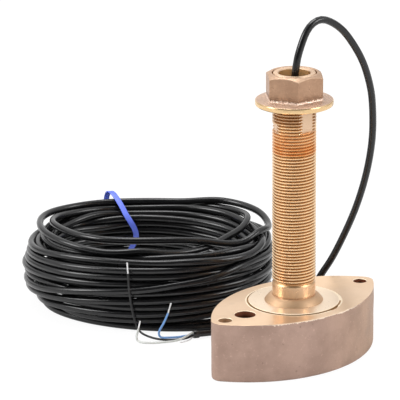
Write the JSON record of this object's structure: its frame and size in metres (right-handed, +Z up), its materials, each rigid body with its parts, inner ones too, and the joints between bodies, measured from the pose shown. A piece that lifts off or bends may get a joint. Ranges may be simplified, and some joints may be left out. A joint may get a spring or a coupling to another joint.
{
  "type": "sonar transducer",
  "caption": "Bronze thru-hull sonar transducer: pointed-oval body, threaded hollow stem with a flanged hull nut, and its coiled cable with bare wire ends.",
  "frame": {"origin": "centre of the body's underside, on the stem's axis", "axes": "+X along the pointed-oval body towards the end with one hole, +Z up the threaded stem"},
  "size_m": [0.1419, 0.2384, 0.2025],
  "materials": {
    "cast_bronze": "cast sides, machined top and stem",
    "nut_bronze": "cast, with a turned flange rim",
    "window_resin": "satin",
    "silvered_ceramic": "fired silver",
    "cork": "matte",
    "solder": "bright",
    "potting_resin": "satin",
    "lead_red": "satin",
    "lead_grey": "satin",
    "sensor_bead": "gloss",
    "sensor_wire": "satin",
    "cable_jacket": "satin black",
    "collar_rubber": "satin black",
    "insulation_black": "satin",
    "insulation_blue": "satin",
    "insulation_white": "translucent white",
    "tinned_strands": "tinned copper",
    "tie_plastic": "blue"
  },
  "bodies": {
    "transducer": {"housing": "cast_bronze", "acoustic_window": "window_resin", "ceramic_disc": "silvered_ceramic", "isolation_sleeve": "cork", "backing_pad": "cork", "solder_signal": "solder", "solder_return": "solder", "body_potting": "potting_resin", "lead_signal": "lead_red", "lead_return": "lead_grey", "temperature_sensor": "sensor_bead", "sensor_lead_near": "sensor_wire", "sensor_lead_far": "sensor_wire", "stem_seal": "potting_resin", "cable_in_stem": "cable_jacket", "cable_arch": "cable_jacket", "cable_coil": "cable_jacket", "cable_tail": "cable_jacket", "jacket_collar": "collar_rubber", "wire_black": "insulation_black", "wire_blue": "insulation_blue", "wire_white": "insulation_white", "wire_tip_black": "tinned_strands", "wire_tip_blue": "tinned_strands", "wire_tip_white": "tinned_strands", "drain_wire": "tinned_strands", "cable_tie": "tie_plastic"},
    "nut": {"hull_nut": "nut_bronze"}
  },
  "joints": [
    {"name": "hull_nut_travel", "type": "slide", "parent": "transducer", "child": "nut", "axis": [0, 0, 1], "range_m": [-0.102, 0]}
  ]
}
